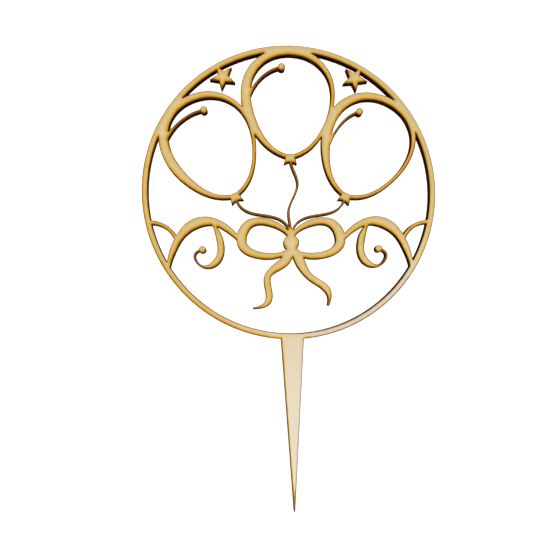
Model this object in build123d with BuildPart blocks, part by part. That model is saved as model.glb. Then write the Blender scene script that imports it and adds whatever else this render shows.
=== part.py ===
from build123d import *
from math import asin, cos, pi, radians, sin, sqrt
import os

# A flat cake topper cut from one sheet of three-ply wood: a ring that frames an openwork
# drawing of balloons, a bow and scrolls, on a tapered stake that pushes into the cake.
# X runs across the front, Z runs up and the front faces -Y. The origin is on the stake's
# centre line, half way through the sheet, at the ring's lowest point, where the ring
# meets the cake's top once the stake is pushed home.

# Sheet: two face veneers on a cross-grain core, each bonded to it by a film of glue
veneer_thickness = 0.6
glue_thickness = 0.1
core_thickness = 1.6

# Ring
ring_diameter = 120.0
ring_band = 2.4

# Stake
stake_length = 69.9
stake_width = 9.3
stake_tip_width = 0.5

# Pen widths of the drawing, from a full downstroke to a hairline
full_stroke = 4.2
half_stroke = 2.9
light_stroke = 1.7
hairline = 1.0

# Balloons, which lean outwards at each side, with a flared knot at the neck
balloon_width = 35.0
balloon_height = 43.0
balloon_taper_share = 0.2
balloon_lean = 24.0
knot_width = 5.4
knot_height = 4.2

# Gleam inside each balloon: turns from the neck, and how far out it lies there
gleam_turns = (268.0, 250.0, 230.0, 210.0, 192.0)
gleam_shares = (1.0, 0.85, 0.765, 0.73, 0.72)

# Bow
bow_width = 40.0
bow_height = 13.0
tie_diameter = 6.6

# Beads that end the gleams and curls, and the stars at the ring
bead_diameter = 3.0
star_diameter = 11.0
star_points = 5

# Turns from the ring's top, in degrees
balloon_bearing = 60.0
star_bearing = 30.0
scroll_bearing = 122.0
tendril_bearing = 102.0

# Places as shares of the ring's inner radius from its centre, drawn on the left side
tie_shares = (0.0, -0.36)
scroll_shares = ((-0.44, -0.265), (-0.57, -0.205), (-0.70, -0.235), (-0.80, -0.345))
curl_shares = ((-0.50, -0.35), (-0.52, -0.48), (-0.62, -0.525), (-0.68, -0.455), (-0.625, -0.405))
tendril_shares = (-0.87, -0.25)
left_tail_shares = ((-0.06, -0.50), (-0.17, -0.60), (-0.16, -0.74), (-0.27, -0.82))
right_tail_shares = ((0.055, -0.48), (0.13, -0.60), (0.24, -0.68), (0.26, -0.80))

# Bow loop from the tie, as shares of half the bow's width and of its height
loop_shares = ((0.40, 0.62), (0.88, 0.56), (1.0, -0.02), (0.58, -0.40))
# Strings, as shares of the run from knot to tie, along it and to its left
side_string_shares = ((0.19, -0.045), (0.54, 0.118))
top_string_shares = ((0.10, 0.03), (0.27, 0.085), (0.60, -0.025), (0.85, 0.0))

# How deep the star's point and the ends of strokes sink into the ring's band
star_seat_share = 0.8
seat_share = 0.5

# Small forms, as shares of the size that carries them
star_waist_share = 0.42
loop_root_share = 0.18
neck_gap_share = 0.85
knot_top_share = 0.5
knot_notch_share = 0.25

# How finely curves are followed
stations_per_point = 6
balloon_points = 13
seat_steps = 72

ring_radius = ring_diameter / 2
inner_radius = ring_radius - ring_band
seat_radius = inner_radius + seat_share * ring_band
ring_centre = Vector(0, ring_radius)
sheet_thickness = 2 * veneer_thickness + 2 * glue_thickness + core_thickness


def place(across_share, up_share):
    """A point of the drawing, as shares of the ring's inner radius from its centre."""
    return ring_centre + Vector(across_share, up_share) * inner_radius


def ring_point(bearing, radius):
    """The point at that turn to the left from the ring's top, and that far from its centre."""
    return ring_centre + Vector(0, radius).rotate(Axis.Z, bearing)


def pen_width(widths, share):
    """The pen's width at a share of the stroke, eased between evenly spaced widths."""
    spans = len(widths) - 1
    span = min(int(share * spans), spans - 1)
    ease = (1 - cos(pi * (share * spans - span))) / 2
    return widths[span] + (widths[span + 1] - widths[span]) * ease


def pen_stroke(points, widths):
    """Draws a smooth line through the points as wide as the pen, with round ends."""
    with BuildLine(mode=Mode.PRIVATE) as spine:
        Spline(*points)
    stations = stations_per_point * (len(points) - 1)
    left, right = [], []
    for station in range(stations + 1):
        share = station / stations
        middle = spine.line @ share
        aside = (spine.line % share).rotate(Axis.Z, 90) * pen_width(widths, share) / 2
        left.append(middle + aside)
        right.append(middle - aside)
    start_tip = spine.line @ 0 - (spine.line % 0) * widths[0] / 2
    end_tip = spine.line @ 1 + (spine.line % 1) * widths[-1] / 2
    with BuildLine() as edge:
        Spline(*left)
        ThreePointArc(left[-1], end_tip, right[-1])
        Spline(*reversed(right))
        ThreePointArc(right[0], start_tip, left[0])
    make_face(edge.edges())


def flat_shape(corners):
    """Draws a straight-sided shape through its corners."""
    with BuildLine() as edge:
        Polyline(*corners, close=True)
    make_face(edge.edges())


def disc(centre, diameter):
    """Draws a round spot."""
    with Locations(centre):
        Circle(diameter / 2)


def star(bearing):
    """Draws a star with one point sunk in the ring."""
    tip_radius = inner_radius + star_seat_share * ring_band
    centre = ring_point(bearing, tip_radius - star_diameter / 2)
    corners = []
    for corner in range(2 * star_points):
        radius = star_diameter / 2 * (star_waist_share if corner % 2 else 1)
        corners.append(centre + Vector(0, radius).rotate(Axis.Z, bearing + corner * 180 / star_points))
    flat_shape(corners)


def balloon_point(turn):
    """A point of an upright balloon's wall, where turn runs from the neck up the right side."""
    across = balloon_width / 2 * sin(turn) * (1 - balloon_taper_share * cos(turn))
    return Vector(across, -balloon_height / 2 * cos(turn))


def seated_centre(bearing, lean):
    """Where a balloon's centre sits when its wall's middle line meets the ring's inner edge."""
    outward = Vector(0, 1).rotate(Axis.Z, bearing)
    reaches = []
    for step in range(seat_steps):
        point = balloon_point(2 * pi * step / seat_steps).rotate(Axis.Z, lean)
        along = point.dot(outward)
        reaches.append(sqrt(inner_radius**2 - point.dot(point) + along**2) - along)
    return ring_point(bearing, min(reaches))


def balloon(bearing, lean):
    """Draws a balloon, its gleam and its knot, and gives the point where the string is tied."""
    centre = seated_centre(bearing, lean)

    def put(point):
        return centre + point.rotate(Axis.Z, lean)

    neck_turn = asin(neck_gap_share * light_stroke / (balloon_width / 2 * (1 - balloon_taper_share)))
    step = (2 * pi - 2 * neck_turn) / (balloon_points - 1)
    wall = [put(balloon_point(neck_turn + step * i)) for i in range(balloon_points)]
    pen_stroke(wall, (light_stroke, light_stroke, half_stroke, full_stroke, light_stroke))

    gleam = []
    for turn, share in zip(gleam_turns, gleam_shares):
        gleam.append(put(balloon_point(radians(turn - lean)) * share))
    pen_stroke(gleam, (light_stroke, hairline, hairline))
    disc(gleam[-1], bead_diameter)

    top = balloon_point(neck_turn).Y + knot_top_share * light_stroke
    foot = top - knot_height
    notch = foot + knot_notch_share * knot_height
    skirt = [(-light_stroke, top), (light_stroke, top), (knot_width / 2, foot)]
    skirt += [(0, notch), (-knot_width / 2, foot)]
    flat_shape([put(Vector(*corner)) for corner in skirt])
    return put(Vector(0, notch + hairline / 2))


def string(knot, tie, sways):
    """Draws the hairline string from a knot to the tie."""
    run = tie - knot
    aside = run.rotate(Axis.Z, 90)
    bends = [knot + run * along + aside * sway for along, sway in sways]
    pen_stroke([knot, *bends, tie], (hairline, hairline))


def bow_loop(tie, side):
    """Draws one loop of the bow and gives its outermost point."""
    root = Vector(0, loop_root_share * tie_diameter)
    bends = [tie + Vector(side * across * bow_width / 2, up * bow_height) for across, up in loop_shares]
    widths = (light_stroke, half_stroke, full_stroke, half_stroke, light_stroke)
    pen_stroke([tie + root, *bends, tie - root], widths)
    return bends[2]


def scroll(start, side):
    """Draws the scroll from the bow to the ring, with the curl and the tendril that leave it."""
    crests = [place(-side * across, up) for across, up in scroll_shares]
    scroll_end = ring_point(-side * scroll_bearing, seat_radius)
    widths = (light_stroke, half_stroke, full_stroke, half_stroke, light_stroke)
    pen_stroke([start, *crests, scroll_end], widths)

    curls = [place(-side * across, up) for across, up in curl_shares]
    pen_stroke([crests[1], *curls], (hairline, half_stroke, half_stroke, hairline, hairline))
    disc(curls[-1], bead_diameter)

    across, up = tendril_shares
    tendril_end = ring_point(-side * tendril_bearing, seat_radius)
    pen_stroke([crests[-1], place(-side * across, up), tendril_end], (light_stroke, light_stroke))


# Outline of the whole topper, seen from the front
with BuildSketch() as outline:
    disc(ring_centre, ring_diameter)
    with Locations(ring_centre):
        Circle(inner_radius, mode=Mode.SUBTRACT)

    shoulder = seat_share * ring_band
    stake = [(-stake_width / 2, shoulder), (stake_width / 2, shoulder), (stake_width / 2, 0)]
    stake += [(stake_tip_width / 2, -stake_length), (-stake_tip_width / 2, -stake_length)]
    stake += [(-stake_width / 2, 0)]
    flat_shape(stake)

    tie = place(*tie_shares)
    string(balloon(0, 0), tie, top_string_shares)
    for side in (-1, 1):
        knot = balloon(-side * balloon_bearing, -side * balloon_lean)
        string(knot, tie, [(along, -side * sway) for along, sway in side_string_shares])
        scroll(bow_loop(tie, side), side)
        star(-side * star_bearing)
    for tail_shares in (left_tail_shares, right_tail_shares):
        tail = [place(*shares) for shares in tail_shares]
        pen_stroke([tie, *tail], (light_stroke, full_stroke, half_stroke, half_stroke, hairline))
    disc(tie, tie_diameter)

# The plies, from the back of the sheet to its front
plies = (
    ("back_veneer", veneer_thickness),
    ("back_glue_film", glue_thickness),
    ("core_veneer", core_thickness),
    ("front_glue_film", glue_thickness),
    ("front_veneer", veneer_thickness),
)
os.makedirs("parts", exist_ok=True)
ply_back = -sheet_thickness / 2
for name, thickness in plies:
    with BuildPart() as ply:
        with BuildSketch(Plane.XZ.offset(ply_back)):
            add(outline.sketch_local)
        extrude(amount=thickness)
    ply.part.label = name
    export_step(ply.part, f"parts/{name}.step")
    ply_back += thickness
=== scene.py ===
import bpy
import numpy as np
from mathutils import Matrix, Vector
from mathutils.geometry import delaunay_2d_cdt


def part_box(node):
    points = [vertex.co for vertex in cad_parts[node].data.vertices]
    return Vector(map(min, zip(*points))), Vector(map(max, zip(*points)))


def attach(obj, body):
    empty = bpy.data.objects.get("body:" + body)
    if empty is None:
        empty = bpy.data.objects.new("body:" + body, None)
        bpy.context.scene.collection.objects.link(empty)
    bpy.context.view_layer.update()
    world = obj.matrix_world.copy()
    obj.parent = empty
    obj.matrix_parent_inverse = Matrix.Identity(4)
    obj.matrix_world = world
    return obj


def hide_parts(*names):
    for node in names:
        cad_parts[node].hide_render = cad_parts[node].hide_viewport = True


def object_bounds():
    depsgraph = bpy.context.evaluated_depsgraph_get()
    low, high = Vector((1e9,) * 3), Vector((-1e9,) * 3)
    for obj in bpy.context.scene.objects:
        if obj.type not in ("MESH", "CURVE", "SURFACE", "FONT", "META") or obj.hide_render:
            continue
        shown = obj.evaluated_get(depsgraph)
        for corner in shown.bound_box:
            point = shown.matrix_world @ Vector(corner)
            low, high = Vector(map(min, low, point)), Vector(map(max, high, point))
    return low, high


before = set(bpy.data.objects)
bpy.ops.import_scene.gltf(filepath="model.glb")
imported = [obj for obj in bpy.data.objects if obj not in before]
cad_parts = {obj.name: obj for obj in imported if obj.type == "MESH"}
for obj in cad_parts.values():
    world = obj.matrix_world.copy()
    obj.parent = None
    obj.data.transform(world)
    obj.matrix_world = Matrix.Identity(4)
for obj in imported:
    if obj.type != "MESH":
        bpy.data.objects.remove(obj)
cadLow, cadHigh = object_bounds()
print("frame loaded:", len(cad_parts), "plies")

mm = 0.001                     # the sheet is worked out in millimetres and written in metres
sheetFront = cadLow.y / mm     # the face that the laser meets first
sheetBack = cadHigh.y / mm

# how the laser's path is followed along the edge of the wood
cutLine = {
    "spacing": 0.35,           # mm between points
    "cornerTurn": 15.0,        # degrees, a sharper turn is a corner
    "mostBow": 0.1,            # mm, a span that would bow out further starts or ends at a corner
    "mergeGap": 0.001,         # mm, corners closer than this are one
    "faceGap": 0.01,           # mm, a corner this near the front is on the face
    "mitreLimit": 1.6,         # longest mitre at a corner, as a share of the inset
    "leastDepth": 0.0001,      # mm, a point no deeper than this is level with the edge
    "openRoom": 1000.0,        # mm, room inside where nothing bounds it
    "fillTolerance": 1e-7,     # mm, points of a fill closer than this would merge
    "sharpFold": 30.0,         # degrees, a sharper fold between faces is shaded as an edge
    "blockRows": 400,          # rows of the distance table held at once
}

# reach of the toasted fringe along the cut: real scorch, with painted shade that widens it on edges facing
# a heading down the ring and off to the left along the stake
fringeScorchAndShade = {
    "shadeHeading": (-0.06, -1.0),   # in x and z, edges that face this way get the widest fringe: painted shade
    "stakeShadeHeading": (-0.6, -0.8),
    "stakeTop": (3.0, -10.0),   # mm, height where the stake's own heading and thinner fringe take over
    "stakeKeep": 0.6,           # share of the fringe kept there, beyond the least
    "middleReach": 0.85,        # mm that the toasted fringe goes in at an edge along the heading
    "facingReach": 0.95,        # mm more of painted shade where an edge faces the heading, and less where it faces away
    "leastReach": 0.30,         # mm
    "drawingShadeHeading": (0.3, -1.0),  # inside the ring
    "drawingEdge": (0.955, 0.92),  # shares of the ring's radius, where the drawing inside it starts
    "drawingMore": 0.36,        # mm added to the fringe there
    "leftPlaces": (10.0, -40.0),  # mm in x, where the wider fringe at the left starts and is full
    "leftMore": 0.2,            # mm added to the fringe there
    "leftGain": 0.2,            # share added to the rest of the fringe there
    "clearPlace": (32.0, 8.0),  # mm in x and z, the lower right of the ring, where the fringe stays thin
    "clearRadii": (36.0, 18.0),  # mm from there, where the clear patch starts and is full
    "clearKeep": 0.1,           # share of the fringe kept there, beyond the least
    "narrowRoom": (0.45, 1.10),  # mm, half width where the heat of both sides meets
    "narrowReach": 1.3,         # mm added to the fringe there
}

# dark line that the beam leaves on a face along the cut
charLine = {
    "width": 0.30,              # mm
    "widen": 0.16,              # mm more for each mm of fringe
    "clearMore": 0.5,           # mm more in the clear patch
    "stakeMore": 0.25,          # mm more on the stake
    "lowHeights": (85.0, 55.0),  # mm, where the lower drawing starts and is full
    "lowMore": 0.2,             # mm more there on an edge that faces the heading: painted shade
    "tipRoom": (0.33, 0.45),    # mm, half width where the stake's tip is charred right across
    "tipMore": 0.40,            # mm more there
}

# the cut wall that all plies share
cutWall = {
    "taper": 0.03,              # mm that the kerf opens towards the front
    "ridgeLengths": (1.5, 2.3, 3.7),        # mm along the cut
    "ridgeHeights": (0.006, 0.008, 0.010),  # mm
    "ridgeDrag": 0.55,          # turns of lag at the back of the sheet
    "ridgeStart": 0.45,         # mm below the front where the ridges are full
}


# vectors divided by their lengths
def unit(vectors):
    return vectors / np.linalg.norm(vectors, axis=-1, keepdims=True)


# vectors turned a quarter to the left
def leftOf(vectors):
    return np.stack([-vectors[..., 1], vectors[..., 0]], -1)


# share of the way from low to high, eased by three squares less two cubes
def smoothStep(low, high, values):
    share = np.clip((values - low) / (high - low), 0, 1)
    return share * share * (3 - 2 * share)


# corners and front triangles of a ply, with doubled corners merged into one
def frontTriangles(nodeName):
    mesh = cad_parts[nodeName].data
    mesh.calc_loop_triangles()
    flat = np.empty(3 * len(mesh.vertices), np.float32)
    mesh.vertices.foreach_get("co", flat)
    corners = np.empty(3 * len(mesh.loop_triangles), np.int32)
    mesh.loop_triangles.foreach_get("vertices", corners)
    places = flat.reshape(-1, 3).astype(float) / mm
    keys = np.round(places / cutLine["mergeGap"]).astype(np.int64)
    first, same = np.unique(keys, axis=0, return_index=True, return_inverse=True)[1:]
    places, triangles = places[first], same.ravel()[corners].reshape(-1, 3)
    atFront = places[:, 1] < places[:, 1].min() + cutLine["faceGap"]
    return places[:, [0, 2]], triangles[atFront[triangles].all(1)]


# edges that only one front triangle uses, in order: each point counts its steps to its loop's head
# by doubling its jumps, so that the wood is always on the left
def edgeLoops(places, triangles):
    start, end = triangles.ravel(), np.roll(triangles, -1, 1).ravel()
    count = len(places)
    border = ~np.isin(start * count + end, end * count + start)
    following = np.arange(count)
    following[start[border]] = end[border]
    doublings = int(np.ceil(np.log2(count)))
    head, jump = np.arange(count), following.copy()
    for doubling in range(doublings):
        head, jump = np.minimum(head, head[jump]), jump[jump]
    steps = (head != np.arange(count)).astype(int)
    jump = np.where(steps > 0, following, np.arange(count))
    for doubling in range(doublings):
        steps, jump = steps + steps[jump], jump[jump]
    rim = start[border]
    order = rim[np.lexsort((np.where(steps[rim] == 0, -count, -steps[rim]), head[rim]))]
    return [places[loop] for loop in np.split(order, np.flatnonzero(np.diff(head[order])) + 1)]


# cubic spans through a loop's points: a span ends in the direction of the parabola through three
# neighbours, or at a corner in its other end's direction, mirrored in the span; a span bows out by its
# length times its turn over eight
def smoothLoop(points):
    ahead = np.roll(points, -1, 0) - points
    length = np.linalg.norm(ahead, axis=1, keepdims=True)
    chord = ahead / length
    before, lengthBefore = np.roll(chord, 1, 0), np.roll(length, 1, 0)
    turn = np.arctan2((leftOf(before) * chord).sum(1), (before * chord).sum(1))
    turn = np.abs(turn)[:, None]
    bow = np.maximum(length, lengthBefore) * turn / 8
    corner = (turn > np.radians(cutLine["cornerTurn"])) | (bow > cutLine["mostBow"])
    cornerNext = np.roll(corner, -1, 0)
    leaving = unit(before * length + chord * lengthBefore)
    arriving = np.roll(leaving, -1, 0)
    mirrored = [2 * (way * chord).sum(1, keepdims=True) * chord - way for way in (arriving, leaving)]
    leaving, arriving = (
        np.where(corner, np.where(cornerNext, chord, mirrored[0]), leaving),
        np.where(cornerNext, np.where(corner, chord, mirrored[1]), arriving))
    cuts = np.maximum(1, np.round(length[:, 0] / cutLine["spacing"])).astype(int)
    span = np.repeat(np.arange(len(points)), cuts)
    t = ((np.arange(cuts.sum()) - np.repeat(np.cumsum(cuts) - cuts, cuts)) / cuts[span])[:, None]
    startPoint, endPoint = points[span], np.roll(points, -1, 0)[span]
    startWay, endWay = (leaving * length)[span], (arriving * length)[span]
    rise = t * t * (3 - 2 * t)
    place = startPoint + (endPoint - startPoint) * rise + t * (1 - t) * (startWay * (1 - t) - endWay * t)
    slope = (endPoint - startPoint) * 6 * t * (1 - t) + startWay * (1 - t) * (1 - 3 * t)
    way = unit(slope + endWay * t * (3 * t - 2))
    wayBefore = np.where((t == 0), unit(np.roll(arriving, 1, 0))[span], way)
    inward = unit(leftOf(way) + leftOf(wayBefore))
    mitre = 1 / np.clip((inward * leftOf(way)).sum(1), 1 / cutLine["mitreLimit"], 1)
    stepLength = np.linalg.norm(np.roll(place, -1, 0) - place, axis=1)
    turns = np.concatenate([[0], np.cumsum(stepLength)[:-1]]) / stepLength.sum()
    return {"place": place, "inward": inward, "mitre": mitre, "turns": turns,
            "around": np.full(len(place), stepLength.sum())}


# radius of the largest disc that touches the edge at a point and stays in the wood: the least of
# distance squared over twice the depth, over all the other points
def roomInside(place, inward):
    room = []
    place, inward = place.astype(np.float32), inward.astype(np.float32)
    for first in range(0, len(place), cutLine["blockRows"]):
        block = slice(first, first + cutLine["blockRows"])
        away = place[None] - place[block, None]
        depth = (away * inward[block, None]).sum(2)
        deep = depth > cutLine["leastDepth"]
        radius = (away * away).sum(2) / np.where(deep, 2 * depth, 1)
        room.append(np.where(deep, radius, cutLine["openRoom"]).min(1))
    return np.concatenate(room)


# distance into the wood from the nearest point of the edge, below nothing outside
def edgeDistance(points):
    gap = [np.empty(0)]
    for first in range(0, len(points), cutLine["blockRows"]):
        block = points[first:first + cutLine["blockRows"]]
        away = block[:, None].astype(np.float32) - edge["place"][None].astype(np.float32)
        number = (away * away).sum(2).argmin(1)
        into = block - edge["place"][number]
        gap.append(np.linalg.norm(into, axis=1) * np.sign((into * edge["inward"][number]).sum(1)))
    return np.concatenate(gap)


# how far the toasted fringe and the dark line go in: the fringe is real scorch plus painted shade in step
# with the edge's facing to the heading, thinner on the stake and in the clear patch, and further where the
# stroke is narrow
def scorch(place, inward, room):
    ringRadius = (cadHigh.x - cadLow.x) / 2 / mm
    fromRing = np.hypot(place[:, 0], place[:, 1] - (cadHigh.z / mm - ringRadius)) / ringRadius
    drawn = smoothStep(*fringeScorchAndShade["drawingEdge"], fromRing)
    onStake = smoothStep(*fringeScorchAndShade["stakeTop"], place[:, 1])
    fromClear = np.linalg.norm(place - np.array(fringeScorchAndShade["clearPlace"]), axis=1)
    clear = smoothStep(*fringeScorchAndShade["clearRadii"], fromClear) * (1 - drawn) * (1 - onStake)
    shares = {"shadeHeading": 1 - onStake - drawn, "stakeShadeHeading": onStake, "drawingShadeHeading": drawn}
    shadeHeading = unit(sum(share[:, None] * np.array(fringeScorchAndShade[key]) for key, share in shares.items()))
    left = smoothStep(*fringeScorchAndShade["leftPlaces"], place[:, 0]) * (1 - onStake)
    least = fringeScorchAndShade["leastReach"] + fringeScorchAndShade["drawingMore"] * drawn
    least = least + fringeScorchAndShade["leftMore"] * left * (1 - drawn)
    # painted shade: the fringe reaches further on edges that face the heading
    facing = -(inward * shadeHeading).sum(1)
    beyond = fringeScorchAndShade["middleReach"] + fringeScorchAndShade["facingReach"] * facing - fringeScorchAndShade["leastReach"]
    beyond = np.maximum(beyond, 0) * (1 - (1 - fringeScorchAndShade["stakeKeep"]) * onStake)
    beyond *= 1 - (1 - fringeScorchAndShade["clearKeep"]) * clear
    beyond *= 1 + fringeScorchAndShade["leftGain"] * left
    narrow = 1 - smoothStep(*fringeScorchAndShade["narrowRoom"], room)
    toast = least + beyond + fringeScorchAndShade["narrowReach"] * narrow
    tip = onStake * (1 - smoothStep(*charLine["tipRoom"], room))
    low = drawn * smoothStep(*charLine["lowHeights"], place[:, 1]) * np.maximum(facing, 0)
    line = charLine["width"] + charLine["widen"] * toast + charLine["clearMore"] * clear
    line = line + charLine["stakeMore"] * onStake + charLine["tipMore"] * tip + charLine["lowMore"] * low
    return toast, line


loops = [smoothLoop(points) for points in edgeLoops(*frontTriangles("front_veneer"))]
edge = {key: np.concatenate([loop[key] for loop in loops]) for key in loops[0]}
sizes = np.array([len(loop["turns"]) for loop in loops])
starts = np.repeat(np.cumsum(sizes) - sizes, sizes)
edge["next"] = starts + (np.arange(sizes.sum()) - starts + 1) % np.repeat(sizes, sizes)
edge["room"] = roomInside(edge["place"], edge["inward"])
edge["toast"], edge["char"] = scorch(edge["place"], edge["inward"], edge["room"])
print("cut line:", len(loops), "loops,", sizes.sum(), "points, narrowest half stroke",
      round(float(np.percentile(edge["room"], 2)), 2), "mm")


# depth of the cut wall below the edge: the kerf's taper, and ridges that are waves along the loop
# with a whole number of turns, lagging as the beam goes down
def wallInset(depth):
    thickness = sheetBack - sheetFront
    inset = np.full(len(edge["turns"]), cutWall["taper"] * (1 - depth / thickness))
    full = smoothStep(0, cutWall["ridgeStart"], np.array(depth))
    for ridgeLength, height in zip(cutWall["ridgeLengths"], cutWall["ridgeHeights"]):
        waves = np.round(edge["around"] / ridgeLength)
        lag = cutWall["ridgeDrag"] * (depth / thickness) ** 2
        inset = inset + full * height * (1 + np.sin(2 * np.pi * (waves * edge["turns"] - lag)))
    return inset


# whether points lie inside the closed lines: a line from each to the right crosses them an odd
# number of times
def insideLines(line, points):
    end = line[edge["next"]]
    rise = end[:, 1] - line[:, 1]
    slope = (end[:, 0] - line[:, 0]) / np.where(rise == 0, 1, rise)
    inside = [np.empty(0, bool)]
    for first in range(0, len(points), cutLine["blockRows"]):
        across, up = points[first:first + cutLine["blockRows"], None].transpose(2, 0, 1)
        level = (line[:, 1] > up) != (end[:, 1] > up)
        crossed = level & (line[:, 0] + (up - line[:, 1]) * slope > across)
        inside.append(crossed.sum(1) % 2 == 1)
    return np.concatenate(inside)


# the flat space inside closed lines, in triangles whose corners keep the points' numbers
def fillFlat(line, inside):
    points = np.concatenate([line, inside])
    links = np.stack([np.arange(len(line)), edge["next"]], 1)
    corners = [Vector(point) for point in points.tolist()]
    made = delaunay_2d_cdt(corners, links.tolist(), [], 1, cutLine["fillTolerance"])
    if len(made[0]) != len(points):
        raise RuntimeError("the fill added or merged points: %d from %d" % (len(made[0]), len(points)))
    triangles = np.array(made[2])
    a, b, c = (points[triangles[:, k]] for k in range(3))
    left = (leftOf(b - a) * (c - a)).sum(1) > 0
    triangles = np.where(left[:, None], triangles, triangles[:, ::-1])
    return triangles[insideLines(line, points[triangles].mean(1))]


# points of a square net that lie further into the wood than the last row of a face
def netPoints(step, clear):
    low, high = edge["place"].min(0), edge["place"].max(0)
    across, up = (np.arange(low[k] + step / 2, high[k], step) for k in range(2))
    net = np.stack(np.meshgrid(across, up), -1).reshape(-1, 2)
    gap = edgeDistance(net)
    return net[gap > clear], gap[gap > clear]


# rows of a face from its middle out to the cut: each row goes in by its own distance, or by its share
# of the room inside where the stroke is narrow
faceRows = {
    "insets": (1.50, 1.00, 0.66, 0.42, 0.24, 0.10),     # mm
    "roomShares": (0.86, 0.72, 0.58, 0.42, 0.26, 0.12),
    "net": 1.3,                # mm between the points in the middle
    "netClear": 1.75,          # mm from the cut
}


# each row's inset, lengthened at a corner by the mitre and kept to the row's share of the room
def faceInsets():
    reach = edge["mitre"] * np.array(faceRows["insets"])[:, None]
    return np.minimum(reach, np.array(faceRows["roomShares"])[:, None] * edge["room"])


insets = faceInsets()
netPlace, netGap = netPoints(faceRows["net"], faceRows["netClear"])
innerFill = fillFlat(edge["place"] + edge["inward"] * insets[0][:, None], netPlace)
edgeFill = fillFlat(edge["place"], np.empty((0, 2)))
print("faces filled:", len(innerFill), "triangles inside,", len(edgeFill), "on a hidden cap")


wallGap = np.array(-1.0)       # edge distance that marks the cut wall


# a ply from rows of points: a profile carried along the cut line, front to back, and a fill at each end;
# rows are (y, inset, edge distance), and a wall's distance is below nothing
def plyMesh(name, rows, frontNet, backNet):
    count = len(edge["turns"])
    flat = [edge["place"] + edge["inward"] * np.reshape(inset, (-1, 1)) for y, inset, gap in rows]
    level = [np.full(count, y) for y, inset, gap in rows]
    gaps = [np.broadcast_to(gap, count) for y, inset, gap in rows]
    toasts, chars = [edge["toast"]] * len(rows), [edge["char"]] * len(rows)
    first, last = 0, (len(rows) - 1) * count
    fills = []
    for net, row, y, turned in ((frontNet, first, rows[0][0], False), (backNet, last, rows[-1][0], True)):
        fill = edgeFill
        if net:
            fill = np.where(innerFill < count, innerFill, innerFill - count + sum(map(len, flat)) - row)
            flat.append(netPlace)
            level.append(np.full(len(netPlace), y))
            gaps.append(netGap)
            toasts.append(np.full(len(netPlace), fringeScorchAndShade["leastReach"]))
            chars.append(np.full(len(netPlace), charLine["width"]))
        fill = fill + row
        fills.append(fill[:, ::-1] if turned else fill)
    flat, level = np.concatenate(flat), np.concatenate(level)
    corners = np.stack([flat[:, 0], level, flat[:, 1]], 1) * mm
    along = np.arange(count)
    steps = np.arange(len(rows) - 1)[:, None] * count
    here, there = steps + along, steps + edge["next"]
    quads = np.stack([here, here + count, there + count, there], -1).reshape(-1, 4)
    loopCorners = np.concatenate([quads.ravel()] + [fill.ravel() for fill in fills])
    totals = np.concatenate([np.full(len(quads), 4), np.full(sum(map(len, fills)), 3)])
    mesh = bpy.data.meshes.new(name)
    mesh.vertices.add(len(corners))
    mesh.vertices.foreach_set("co", corners.astype(np.float32).ravel())
    mesh.loops.add(len(loopCorners))
    mesh.loops.foreach_set("vertex_index", loopCorners.astype(np.int32))
    mesh.polygons.add(len(totals))
    mesh.polygons.foreach_set("loop_start", (np.cumsum(totals) - totals).astype(np.int32))
    wallRow = np.array([gap is wallGap for y, inset, gap in rows])
    onWall = np.repeat(wallRow[:-1] & wallRow[1:], count)
    finish = np.concatenate([onWall, np.zeros(sum(map(len, fills)))])
    mesh.polygons.foreach_set("material_index", finish.astype(np.int32))
    mesh.update(calc_edges=True)
    mesh.validate()
    # the fringe's reach holds painted shade as well as scorch
    for key, values in (("edgeDistance", gaps), ("toastReach", toasts), ("charReach", chars)):
        values = np.concatenate(values).astype(np.float32)
        mesh.attributes.new(key, "FLOAT", "POINT").data.foreach_set("value", values)
    mesh.shade_smooth()
    mesh.set_sharp_from_angle(angle=np.radians(cutLine["sharpFold"]))
    return mesh


# a ply's object, with its materials, riding on the sheet in place of its node
def plyObject(mesh, node, materials):
    piece = bpy.data.objects.new(mesh.name, mesh)
    bpy.context.scene.collection.objects.link(piece)
    for material in materials:
        mesh.materials.append(material)
    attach(piece, "root")
    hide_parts(node)
    mesh.calc_loop_triangles()
    print(mesh.name, "made:", len(mesh.loop_triangles), "triangles")


# colours are written as the swatches a painter would read off, 0 to 255, and turned to linear light by
# the standard curve of screens
def swatch(red, green, blue):
    share = np.array([red, green, blue]) / 255
    linear = np.where(share <= 0.04045, share / 12.92, ((share + 0.055) / 1.055) ** 2.4)
    return (*linear.tolist(), 1.0)


# a node with its sockets filled: a socket is linked, anything else is set
def put(tree, kind, sockets, **settings):
    made = tree.nodes.new("ShaderNode" + kind)
    for key, value in settings.items():
        setattr(made, key, value)
    for key, value in sockets.items():
        if isinstance(value, bpy.types.NodeSocket):
            tree.links.new(value, made.inputs[key])
        else:
            made.inputs[key].default_value = value
    return made


# a sum, product or the like of two values
def math(tree, operation, a, b=0.0):
    return put(tree, "Math", {0: a, 1: b}, operation=operation).outputs[0]


# a value carried from the span low to high to the span first to last, eased at both ends
def between(tree, value, low, high, first, last):
    spans = {"Value": value, "From Min": low, "From Max": high, "To Min": first, "To Max": last}
    return put(tree, "MapRange", spans, interpolation_type="SMOOTHSTEP").outputs[0]


# noise counted per millimetre across, through and along the grain
def noise(tree, perMm, detail, rough):
    place = put(tree, "TexCoord", {}).outputs["Object"]
    perMetre = tuple(count / mm for count in perMm)
    scaled = put(tree, "VectorMath", {0: place, 1: perMetre}, operation="MULTIPLY").outputs[0]
    sockets = {"Vector": scaled, "Scale": 1.0, "Detail": detail, "Roughness": rough}
    return put(tree, "TexNoise", sockets).outputs[0]


# two colours mixed by a factor
def mixColour(tree, factor, a, b, blend="MIX"):
    made = put(tree, "Mix", {"Factor": factor}, data_type="RGBA", blend_type=blend)
    for key, value in ((6, a), (7, b)):
        if isinstance(value, bpy.types.NodeSocket):
            tree.links.new(value, made.inputs[key])
        else:
            made.inputs[key].default_value = value
    return made.outputs[2]


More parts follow.
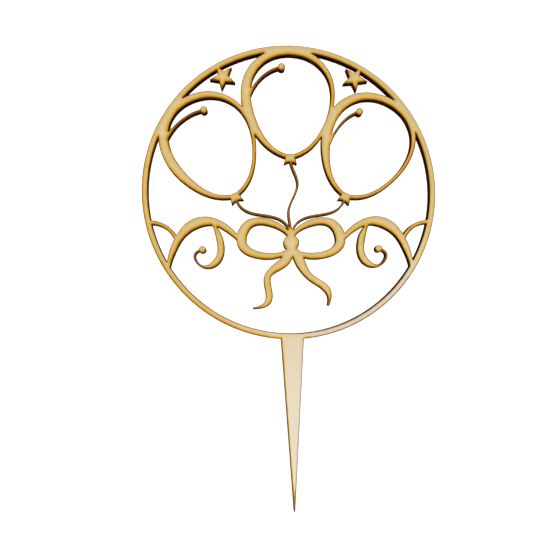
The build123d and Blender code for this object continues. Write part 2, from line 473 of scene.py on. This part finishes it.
# a colour read off a row of stops
def ramp(tree, factor, stops):
    made = put(tree, "ValToRGB", {"Fac": factor})
    stopList = made.color_ramp.elements
    while len(stopList) < len(stops):
        stopList.new(0.5)
    for stop, (place, colour) in zip(stopList, stops):
        stop.position = place
        stop.color = colour
    return made.outputs[0]


# a material with its tree and its shader
def newMaterial(name):
    made = bpy.data.materials.new(name)
    made.use_nodes = True
    return made, made.node_tree, made.node_tree.nodes["Principled BSDF"]


# sanded birch face: grain runs up the sheet, the face is darker and warmer towards the top, and the laser
# toasts the edge, with painted shade in the toasted fringe
frontLook = {
    "paleWood": swatch(229, 215, 190),
    "warmWood": swatch(206, 178, 120),
    "deepWood": swatch(214, 193, 144),
    "deep": (0.9, 2.2),         # mm from the cut, where the warm tone thins and is thinnest
    "warmth": (-35.0, 40.0),      # mm, heights where the warm tone starts and is full
    "warmthLean": 0.5,            # mm that it comes down for each mm to the left
    "fringeShare": 1.0,         # of the toasted fringe's reach
    "charShare": 1.0,           # of the dark line's width
    "charColour": swatch(66, 36, 14),
    "charMost": 0.9,            # of that colour, right at the cut
    "flash": 0.0,               # strength of the marks that the cutting bed flashes back
    "roughness": (0.62, 0.82),
    "sheen": 0.10,
}
backLook = dict(frontLook, paleWood=swatch(226, 209, 181), warmWood=swatch(214, 190, 146),
                deepWood=swatch(218, 197, 158), fringeShare=0.6, charShare=1.2, flash=0.6)
# colour of the toasted fringe from the cut inwards, as a share of the wood's own: real scorch with painted
# shade of the rounded burnt edge
toastStops = (
    (0.00, (0.33, 0.09, 0.002, 1.0)),
    (0.10, (0.66, 0.28, 0.002, 1.0)),
    (0.20, (0.90, 0.50, 0.003, 1.0)),
    (0.32, (1.02, 0.66, 0.012, 1.0)),
    (0.42, (1.06, 0.79, 0.090, 1.0)),
    (0.53, (1.06, 0.87, 0.28, 1.0)),
    (0.64, (1.04, 0.93, 0.56, 1.0)),
    (0.84, (1.02, 0.99, 0.88, 1.0)),
    (1.00, (1.00, 1.00, 1.00, 1.0)),
)
# scorched spots where the walls of the cutting bed's cells meet the cut
bedMarks = {
    "cellsPerMm": 0.16,
    "cellSway": 0.3,            # how far the cells stray from an even net
    "spot": 0.20,               # half width of a spot, as a share of a cell
    "reach": 1.2,               # mm from the cut
    "colour": swatch(126, 82, 38),
    "patches": ((0.2, 0.2, 0.2), 2.0, 0.55),
    "patchEdges": (0.35, 0.65),  # noise where a patch of spots is faint and is full
    "patchKeep": 0.25,          # strength of a faint patch
}
# the wood's grain: a noise is its counts per mm across, through and along, its detail and its roughness
grain = {
    "cloud": ((0.11, 0.11, 0.03), 2.0, 0.55),
    "bands": ((0.55, 0.55, 0.012), 3.0, 0.55),
    "fibre": ((4.2, 4.2, 0.16), 3.0, 0.65),
    "mottle": ((1.9, 1.9, 1.1), 2.0, 0.6),
    "pores": ((7.5, 7.5, 0.55), 1.0, 0.55),
    "uneven": ((0.45, 0.45, 0.45), 3.0, 0.55),
    "poreEdges": (0.60, 0.72),  # noise where a pore starts and is full
    "fibreEdges": (0.3, 0.7),   # noise where the wood is smoothest and is roughest
    "cloudShare": 0.35,         # of the warm tone
    "toneShares": {"bands": 0.10, "fibre": 0.16, "mottle": 0.10},
    "toneLeast": 0.82,          # tone with none of these
    "poreTone": 0.10,           # tone that a pore takes away
    "poreDepth": 0.6,           # of the fibres' relief
    "unevenLeast": 0.55,        # share of the fringe's and the dark line's reach with no noise
    "unevenMore": 0.9,          # and what full noise adds
    "bumpStrength": 0.35,
    "bumpDistance": 0.00004,    # metres
}
noiseMiddle = 0.5


# pale wood, darker and warmer towards the top and near the cuts, times the grain's tone; the toasted
# fringe, real scorch with painted shade, multiplies it by a colour read off at distance over reach, and the
# dark line covers it at the cut
def faceWood(name, look):
    material, tree, shader = newMaterial(name)
    place = put(tree, "TexCoord", {}).outputs["Object"]
    apart = put(tree, "SeparateXYZ", {0: place}).outputs
    height = math(tree, "SUBTRACT", apart["Z"], math(tree, "MULTIPLY", apart["X"], look["warmthLean"]))
    gap, toast, line = (put(tree, "Attribute", {}, attribute_name=key).outputs["Fac"]
                        for key in ("edgeDistance", "toastReach", "charReach"))
    grains = {key: noise(tree, *grain[key]) for key in ("cloud", "bands", "fibre", "mottle", "uneven")}
    pores = between(tree, noise(tree, *grain["pores"]), *grain["poreEdges"], 0.0, 1.0)
    warmth = between(tree, height, look["warmth"][0] * mm, look["warmth"][1] * mm, 0.0, 1.0)
    cloud = math(tree, "SUBTRACT", grains["cloud"], noiseMiddle)
    warmth = math(tree, "ADD", warmth, math(tree, "MULTIPLY", cloud, grain["cloudShare"]))
    warmed = mixColour(tree, between(tree, gap, *look["deep"], 0.0, 1.0), look["warmWood"], look["deepWood"])
    wood = mixColour(tree, warmth, look["paleWood"], warmed)
    tone = grain["toneLeast"]
    for key, share in grain["toneShares"].items():
        tone = math(tree, "ADD", tone, math(tree, "MULTIPLY", grains[key], share))
    tone = math(tree, "SUBTRACT", tone, math(tree, "MULTIPLY", pores, grain["poreTone"]))
    wood = put(tree, "VectorMath", {0: wood, "Scale": tone}, operation="SCALE").outputs[0]
    if look["flash"]:
        perMetre = (bedMarks["cellsPerMm"] / mm,) * 3
        scaled = put(tree, "VectorMath", {0: place, 1: perMetre}, operation="MULTIPLY").outputs[0]
        net = {"Vector": scaled, "Scale": 1.0, "Randomness": bedMarks["cellSway"]}
        cells = put(tree, "TexVoronoi", net, feature="DISTANCE_TO_EDGE").outputs["Distance"]
        patches = noise(tree, *bedMarks["patches"])
        marks = between(tree, cells, 0.0, bedMarks["spot"], look["flash"], 0.0)
        marks = math(tree, "MULTIPLY", marks, between(tree, gap, 0.0, bedMarks["reach"], 1.0, 0.0))
        patches = between(tree, patches, *bedMarks["patchEdges"], bedMarks["patchKeep"], 1.0)
        wood = mixColour(tree, math(tree, "MULTIPLY", marks, patches), wood, bedMarks["colour"])
    uneven = math(tree, "MULTIPLY", grains["uneven"], grain["unevenMore"])
    uneven = math(tree, "ADD", uneven, grain["unevenLeast"])
    # the toasted fringe: real scorch and painted shade of the rounded edge, wider on edges facing the
    # heading
    reach = math(tree, "MULTIPLY", math(tree, "MULTIPLY", toast, look["fringeShare"]), uneven)
    fringe = ramp(tree, math(tree, "DIVIDE", gap, reach), toastStops)
    toasted = mixColour(tree, 1.0, wood, fringe, "MULTIPLY")
    line = math(tree, "MULTIPLY", math(tree, "MULTIPLY", line, look["charShare"]), uneven)
    charEdge = between(tree, gap, 0.0, line, look["charMost"], 0.0)
    colour = mixColour(tree, charEdge, toasted, look["charColour"])
    tree.links.new(colour, shader.inputs["Base Color"])
    rough = between(tree, grains["fibre"], *grain["fibreEdges"], *look["roughness"])
    tree.links.new(rough, shader.inputs["Roughness"])
    relief = math(tree, "SUBTRACT", grains["fibre"], math(tree, "MULTIPLY", pores, grain["poreDepth"]))
    bump = {"Strength": grain["bumpStrength"], "Distance": grain["bumpDistance"], "Height": relief}
    tree.links.new(put(tree, "Bump", bump).outputs[0], shader.inputs["Normal"])
    shader.inputs["Specular IOR Level"].default_value = look["sheen"]
    return material


# charred wall: soot in streaks that run through the sheet, over brown wood; a face ply's wall is amber
# at its rim, where the heat didn't last
charLook = {
    "soot": swatch(11, 6, 8),
    "brown": swatch(70, 42, 26),
    "brownShares": {"frontVeneer": 0.65, "glue": 0.05, "core": 0.45, "backVeneer": 0.95},
    "amber": swatch(138, 66, 8),
    "rimDepth": 0.16,           # of the fringe's reach
    "rimLeast": 0.5,            # share of that depth where the wall is least worn
    "roughness": (0.7, 0.95),
    "streaks": ((5.0, 0.25, 5.0), 3.0, 0.6),
    "crumbs": ((9.0, 9.0, 9.0), 2.0, 0.6),
    "patches": ((0.35, 0.35, 0.35), 2.0, 0.55),
    "streakShare": 0.6,         # of the wear
    "crumbShare": 0.4,
    "patchShare": 0.4,
    "wornEdges": (0.42, 0.66),  # wear where the brown starts to show and shows most
    "crumbEdges": (0.3, 0.7),   # noise where the wall is smoothest and is roughest
    "bumpStrength": 0.6,
    "bumpDistance": 0.00006,    # metres
}


# wear is the sum of streaks, crumbs and patches; it mixes soot with brown, and the rim fades to amber
def charredWall(name, ply, rimFace=None):
    material, tree, shader = newMaterial(name)
    streaks, crumbs, patches = (noise(tree, *charLook[key]) for key in ("streaks", "crumbs", "patches"))
    worn = math(tree, "MULTIPLY", streaks, charLook["streakShare"])
    worn = math(tree, "ADD", worn, math(tree, "MULTIPLY", crumbs, charLook["crumbShare"]))
    patches = math(tree, "SUBTRACT", patches, noiseMiddle)
    worn = math(tree, "ADD", worn, math(tree, "MULTIPLY", patches, charLook["patchShare"]))
    shade = between(tree, worn, *charLook["wornEdges"], 0.0, charLook["brownShares"][ply])
    colour = mixColour(tree, shade, charLook["soot"], charLook["brown"])
    if rimFace is not None:
        place = put(tree, "TexCoord", {}).outputs["Object"]
        through = put(tree, "SeparateXYZ", {0: place}).outputs["Y"]
        depth = math(tree, "ABSOLUTE", math(tree, "SUBTRACT", through, rimFace * mm))
        # the amber rim's depth follows the fringe's reach, painted shade included
        toast = put(tree, "Attribute", {}, attribute_name="toastReach").outputs["Fac"]
        rim = math(tree, "MULTIPLY", toast, charLook["rimDepth"] * mm)
        rim = math(tree, "MULTIPLY", rim, math(tree, "ADD", worn, charLook["rimLeast"]))
        colour = mixColour(tree, between(tree, depth, 0.0, rim, 1.0, 0.0), colour, charLook["amber"])
    tree.links.new(colour, shader.inputs["Base Color"])
    rough = between(tree, crumbs, *charLook["crumbEdges"], *charLook["roughness"])
    tree.links.new(rough, shader.inputs["Roughness"])
    bump = {"Strength": charLook["bumpStrength"], "Distance": charLook["bumpDistance"], "Height": worn}
    tree.links.new(put(tree, "Bump", bump).outputs[0], shader.inputs["Normal"])
    shader.inputs["Specular IOR Level"].default_value = 0.0
    return material


frontWood = faceWood("frontBirch", frontLook)
backWood = faceWood("backBirch", backLook)
frontChar = charredWall("frontVeneerChar", "frontVeneer", sheetFront)
backChar = charredWall("backVeneerChar", "backVeneer", sheetBack)
coreChar = charredWall("coreChar", "core")
glueChar = charredWall("glueChar", "glue")
print("materials made")


# rows of a wall between two depths below the sheet's front, with the glue drawn in a little
def wallRows(node, count, recess=0.0):
    low, high = (corner.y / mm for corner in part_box(node))
    depths = np.linspace(low, high, count)
    return [(y, wallInset(y - sheetFront) + recess, wallGap) for y in depths]


frontVeneer = {"node": "front_veneer", "slot": "front_face_wood", "wallRows": 4, "rim": 0.045}
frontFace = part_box(frontVeneer["node"])[0].y / mm
frontRows = [(frontFace, inset + cutWall["taper"], inset) for inset in insets]
frontWall = wallRows(frontVeneer["node"], frontVeneer["wallRows"])
frontWall[0] = (frontFace + frontVeneer["rim"], frontWall[0][1], wallGap)
frontMesh = plyMesh("frontVeneerPly", frontRows + frontWall, True, False)
plyObject(frontMesh, frontVeneer["node"], [frontWood, frontChar])

glueFilm = {"slot": "glue", "wallRows": 3, "recess": 0.03}
for node, name in (("front_glue_film", "frontGlueLine"), ("back_glue_film", "backGlueLine")):
    glueMesh = plyMesh(name, wallRows(node, glueFilm["wallRows"], glueFilm["recess"]), False, False)
    plyObject(glueMesh, node, [glueChar, glueChar])

core = {"node": "core_veneer", "slot": "core_wood", "wallRows": 6}
coreMesh = plyMesh("corePly", wallRows(core["node"], core["wallRows"]), False, False)
plyObject(coreMesh, core["node"], [coreChar, coreChar])

backVeneer = {"node": "back_veneer", "slot": "back_face_wood", "wallRows": 4, "rim": 0.03}
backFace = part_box(backVeneer["node"])[1].y / mm
backWall = wallRows(backVeneer["node"], backVeneer["wallRows"])
backWall[-1] = (backFace - backVeneer["rim"], backWall[-1][1], wallGap)
backRows = [(backFace, inset, inset) for inset in insets[::-1]]
backMesh = plyMesh("backVeneerPly", backWall + backRows, False, True)
plyObject(backMesh, backVeneer["node"], [backWood, backChar])

# white studio floor: a disc of rings and spokes under the stake's tip, with radii that grow as squares
floorLook = {"radius": 4.0, "rings": 24, "spokes": 96, "drop": 0.002, "white": 0.86, "glow": 0.45,
             "rough": 0.9, "sheen": 0.1}
rings, spokes = floorLook["rings"], floorLook["spokes"]
ringShares, turnShares = np.linspace(0, 1, rings + 1)[1:] ** 2, np.arange(spokes) / spokes
ringShare, turnShare = np.meshgrid(ringShares, turnShares, indexing="ij")
floorRadius, floorTurn = ringShare * floorLook["radius"], 2 * np.pi * turnShare
floorLevel = np.full(ringShare.shape, cadLow.z - floorLook["drop"])
floorPlaces = np.stack([floorRadius * np.cos(floorTurn), floorRadius * np.sin(floorTurn), floorLevel], -1)
floorPlaces = floorPlaces.reshape(-1, 3)
ringStart = np.arange(rings - 1)[:, None] * spokes
spoke = np.arange(spokes)
near, far = ringStart + spoke, ringStart + (spoke + 1) % spokes
floorQuads = np.stack([near, near + spokes, far + spokes, far], -1).reshape(-1, 4)
floorMesh = bpy.data.meshes.new("studioFloor")
floorMesh.from_pydata(floorPlaces.tolist(), [], floorQuads.tolist() + [spoke.tolist()])
floor = bpy.data.objects.new("studioFloor", floorMesh)
bpy.context.scene.collection.objects.link(floor)
floorPaint, floorShader = newMaterial("floorPaint")[::2]
floorShader.inputs["Base Color"].default_value = (floorLook["white"],) * 3 + (1.0,)
floorShader.inputs["Roughness"].default_value = floorLook["rough"]
floorShader.inputs["Specular IOR Level"].default_value = floorLook["sheen"]
floorShader.inputs["Emission Color"].default_value = (1.0, 1.0, 1.0, 1.0)
floorShader.inputs["Emission Strength"].default_value = floorLook["glow"]
floorMesh.materials.append(floorPaint)

# soft white studio: an even surround, and one large soft light above the camera's left
studio = {"surround": 0.80, "backdrop": 1.25, "keyPower": 1.6, "keySize": 0.7,
          "keyPlace": (-0.45, -0.75, 0.55), "keyAim": (0.0, 0.0, 0.03)}
world = bpy.data.worlds.new("studioWhite")
world.use_nodes = True
bpy.context.scene.world = world
worldTree = world.node_tree
surround = worldTree.nodes["Background"]
surround.inputs["Strength"].default_value = studio["surround"]
surround.inputs["Color"].default_value = (1.0, 1.0, 1.0, 1.0)
backdrop = put(worldTree, "Background", {"Color": (1.0, 1.0, 1.0, 1.0), "Strength": studio["backdrop"]})
seen = put(worldTree, "LightPath", {}).outputs["Is Camera Ray"]
both = put(worldTree, "MixShader", {0: seen, 1: surround.outputs[0], 2: backdrop.outputs[0]})
worldTree.links.new(both.outputs[0], worldTree.nodes["World Output"].inputs["Surface"])
keyData = bpy.data.lights.new("softKey", "AREA")
keyData.energy = studio["keyPower"]
keyData.size = studio["keySize"]
keyLight = bpy.data.objects.new("softKey", keyData)
keyLight.location = studio["keyPlace"]
keyAim = Vector(studio["keyAim"]) - keyLight.location
keyLight.rotation_euler = keyAim.to_track_quat("-Z", "Y").to_euler()
bpy.context.scene.collection.objects.link(keyLight)
bpy.context.scene.view_settings.view_transform = "Standard"

# camera at the photograph's place: metres, degrees, and pixels of a 553 pixel frame for the focal length
# and for how far below the frame's middle the lens axis meets it
view = {"place": (-0.018, -0.2135, 0.012), "pitch": 0.567, "yaw": 3.145, "roll": -0.688,
        "focalPixels": 523.26, "axisDrop": 28.35, "framePixels": 553, "nearClip": 0.01}
pitch, yaw, roll = (np.radians(view[k]) for k in ("pitch", "yaw", "roll"))
forward = np.array([np.sin(yaw) * np.cos(pitch), np.cos(yaw) * np.cos(pitch), np.sin(pitch)])
level = unit(np.cross(forward, (0, 0, 1)))
upright = np.cross(level, forward)
right = level * np.cos(roll) + upright * np.sin(roll)
top = upright * np.cos(roll) - level * np.sin(roll)
cameraData = bpy.data.cameras.new("camera")
camera = bpy.data.objects.new("camera", cameraData)
cameraData.lens = view["focalPixels"] / view["framePixels"] * cameraData.sensor_width
cameraData.shift_y = view["axisDrop"] / view["framePixels"]
cameraData.clip_start = view["nearClip"]
turned = Matrix(np.stack([right, top, -forward], 1).tolist()).to_4x4()
camera.matrix_world = Matrix.Translation(view["place"]) @ turned
bpy.context.scene.collection.objects.link(camera)
bpy.context.scene.camera = camera
print("studio and camera set")
